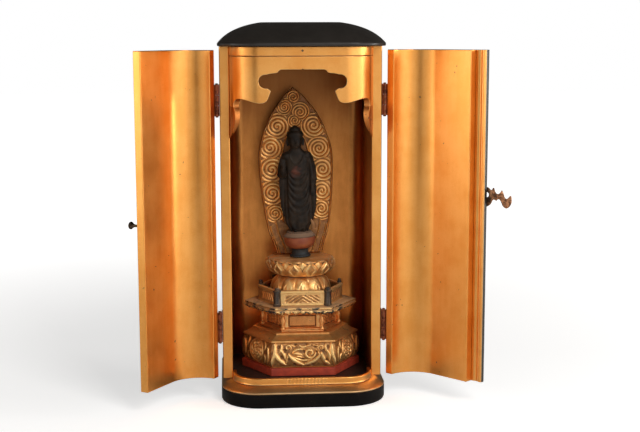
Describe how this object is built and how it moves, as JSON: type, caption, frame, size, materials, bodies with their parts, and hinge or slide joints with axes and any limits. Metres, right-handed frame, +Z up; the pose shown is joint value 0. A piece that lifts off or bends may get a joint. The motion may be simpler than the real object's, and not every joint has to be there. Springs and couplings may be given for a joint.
{
  "type": "altar cabinet",
  "caption": "Tall lacquered altar cabinet with a domed roof, curved gilt doors, a latch hook and a standing figure with a pointed halo on carved tiers.",
  "frame": {"origin": "centre of the flat underside of the base", "axes": "+Z up, -Y towards the open front, +X to the right seen from the front"},
  "size_m": [0.3509, 0.1578, 0.36],
  "materials": {
    "black_lacquer": "gloss",
    "gilt": "satin gold leaf",
    "carved_gilt": "worn gold leaf",
    "red_lacquer": "satin",
    "bowl_red": "matte",
    "dark_wood": "satin",
    "bronze": "dark patina"
  },
  "bodies": {
    "cabinet": {"base_plinth": "black_lacquer", "side_wall_left": "black_lacquer", "side_wall_right": "black_lacquer", "back_board": "black_lacquer", "floor_board": "black_lacquer", "ceiling_board": "black_lacquer", "roof": "black_lacquer", "ledge_board": "gilt", "sill_lip": "gilt", "frieze": "gilt", "head_rail": "gilt", "carved_drum": "carved_gilt", "waist_drum": "carved_gilt", "fringed_plate": "carved_gilt", "railing": "carved_gilt", "lower_lotus": "carved_gilt", "upper_lotus": "carved_gilt", "halo": "carved_gilt", "red_footboard": "red_lacquer", "figure_stand": "bowl_red", "standing_figure": "dark_wood", "hinge_lower_left_case_leaf": "bronze", "hinge_lower_left_pin": "bronze", "hinge_lower_right_case_leaf": "bronze", "hinge_lower_right_pin": "bronze", "hinge_upper_left_case_leaf": "bronze", "hinge_upper_left_pin": "bronze", "hinge_upper_right_case_leaf": "bronze", "hinge_upper_right_pin": "bronze"},
    "door_left": {"door_left": "gilt", "catch_stud": "bronze", "hinge_lower_left_door_leaf": "bronze", "hinge_upper_left_door_leaf": "bronze"},
    "door_right": {"door_right": "gilt", "meeting_strip": "black_lacquer", "hook_pivot": "bronze", "hinge_lower_right_door_leaf": "bronze", "hinge_upper_right_door_leaf": "bronze"},
    "latch_hook": {"latch_hook": "bronze"}
  },
  "joints": [
    {"name": "door_left_hinge", "type": "hinge", "parent": "cabinet", "child": "door_left", "pos_m": [-0.0789, -0.031, 0.18], "axis": [0, 0, 1], "range_deg": [-57.4, 122.6]},
    {"name": "door_right_hinge", "type": "hinge", "parent": "cabinet", "child": "door_right", "pos_m": [0.0789, -0.031, 0.18], "axis": [0, 0, 1], "range_deg": [-132, 48]},
    {"name": "latch_hook_pivot", "type": "hinge", "parent": "door_right", "child": "latch_hook", "pos_m": [0.16379, -0.06161, 0.1944], "axis": [0.7431, 0.6691, 0], "range_deg": [-75, 60]}
  ]
}
